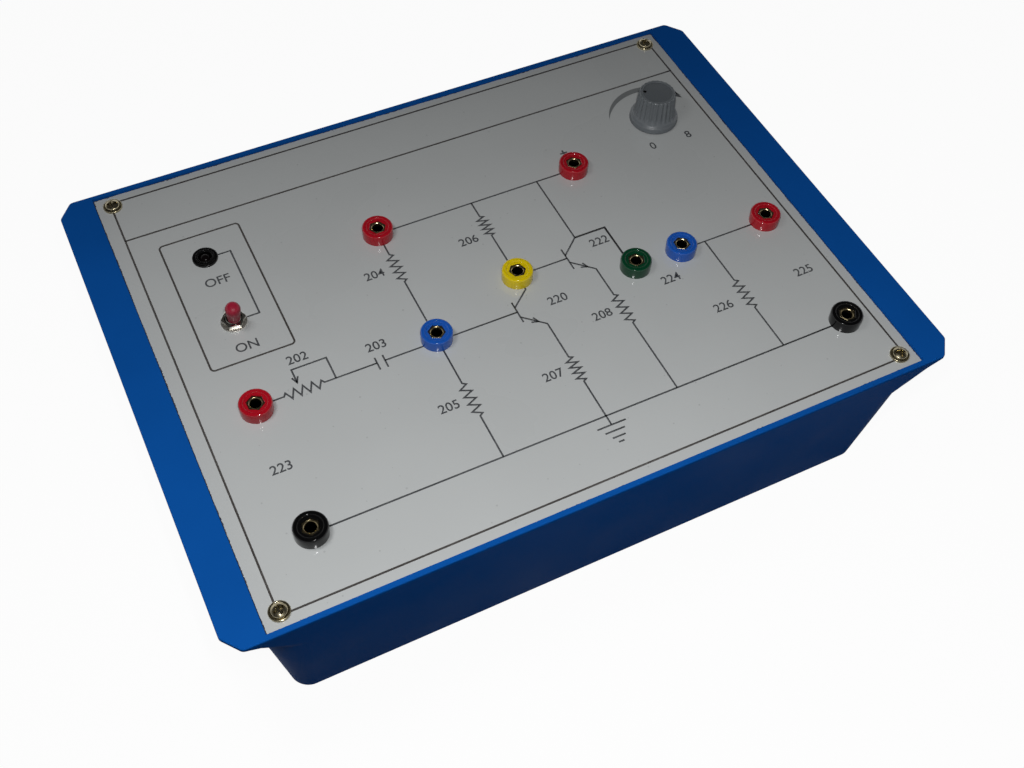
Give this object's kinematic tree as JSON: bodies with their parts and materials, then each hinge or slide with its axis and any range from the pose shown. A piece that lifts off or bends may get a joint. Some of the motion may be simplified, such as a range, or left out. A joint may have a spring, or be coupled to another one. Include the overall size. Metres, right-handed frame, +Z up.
{
  "type": "direct coupled amplifier trainer",
  "caption": "Bench trainer for a direct coupled transistor amplifier: a blue moulded box with grip wings, a printed panel with 4 mm sockets, a mains toggle and lamp, and a knob.",
  "frame": {"origin": "on the resting surface under the middle of the box, at the soles of its feet", "axes": "+X along the front edge to the right, +Y to the back, +Z up, square to the front panel"},
  "size_m": [0.2818, 0.2064, 0.0829],
  "materials": {
    "housing_blue": "moulded, satin",
    "panel_laminate": "printed light grey laminate",
    "nickel": "nickel plated",
    "tinned": "tinned",
    "black_plastic": "moulded black",
    "lamp_lens": "dark tinted lens",
    "chrome": "bright plated",
    "switch_case": "moulded",
    "red_sleeve": "soft plastic sleeve",
    "case_steel": "plated sheet",
    "brass": "turned",
    "shaft_aluminium": "turned",
    "knob_grey": "moulded grey",
    "board_laminate": "board laminate",
    "can_sleeve": "shrunk sleeve",
    "resistor_body": "lacquered",
    "core_steel": "varnished plates",
    "coil_tape": "taped winding",
    "black_rubber": "moulded rubber",
    "socket_red": "moulded",
    "socket_blue": "moulded",
    "socket_yellow": "moulded",
    "socket_green": "moulded",
    "socket_black": "moulded"
  },
  "bodies": {
    "box": {"board_screws": "nickel", "circuit_board": "board_laminate", "control_bushing": "brass", "control_case": "case_steel", "control_lugs": "tinned", "control_nut": "nickel", "control_washer": "nickel", "cord_grommet": "black_rubber", "coupling_capacitor": "can_sleeve", "foot_screws": "nickel", "front_panel": "panel_laminate", "housing": "housing_blue", "indicator_clip": "black_plastic", "indicator_holder": "black_plastic", "indicator_lamp": "lamp_lens", "panel_screws": "nickel", "rectifier_diodes": "black_plastic", "reservoir_capacitor": "can_sleeve", "resistors": "resistor_body", "rubber_feet": "black_rubber", "socket_contacts": "nickel", "socket_head_01_red": "socket_red", "socket_head_02_red": "socket_red", "socket_head_03_blue": "socket_blue", "socket_head_04_yellow": "socket_yellow", "socket_head_05_green": "socket_green", "socket_head_06_blue": "socket_blue", "socket_head_07_red": "socket_red", "socket_head_08_black": "socket_black", "socket_head_09_black": "socket_black", "socket_head_10_red": "socket_red", "socket_nuts": "nickel", "solder_tags": "tinned", "switch_back_nut": "chrome", "switch_body": "switch_case", "switch_bushing": "chrome", "switch_nut": "chrome", "switch_terminals": "tinned", "switch_washer": "chrome", "transformer_clamp": "case_steel", "transformer_coil": "coil_tape", "transformer_core": "core_steel", "transformer_screws": "nickel", "transistors": "black_plastic", "voltage_regulator": "black_plastic"},
    "knob": {"control_knob": "knob_grey", "control_shaft": "shaft_aluminium"},
    "toggle": {"switch_lever": "chrome", "switch_sleeve": "red_sleeve"}
  },
  "joints": [
    {"name": "knob_turn", "type": "hinge", "parent": "box", "child": "knob", "pos_m": [0.1002, 0.0521, 0.0682], "axis": [0, 0, 1], "range_deg": [-210, 90]},
    {"name": "toggle_tilt", "type": "hinge", "parent": "box", "child": "toggle", "pos_m": [-0.0962, 0.021, 0.0672], "axis": [-1, 0, 0], "range_deg": [0, 34]}
  ]
}
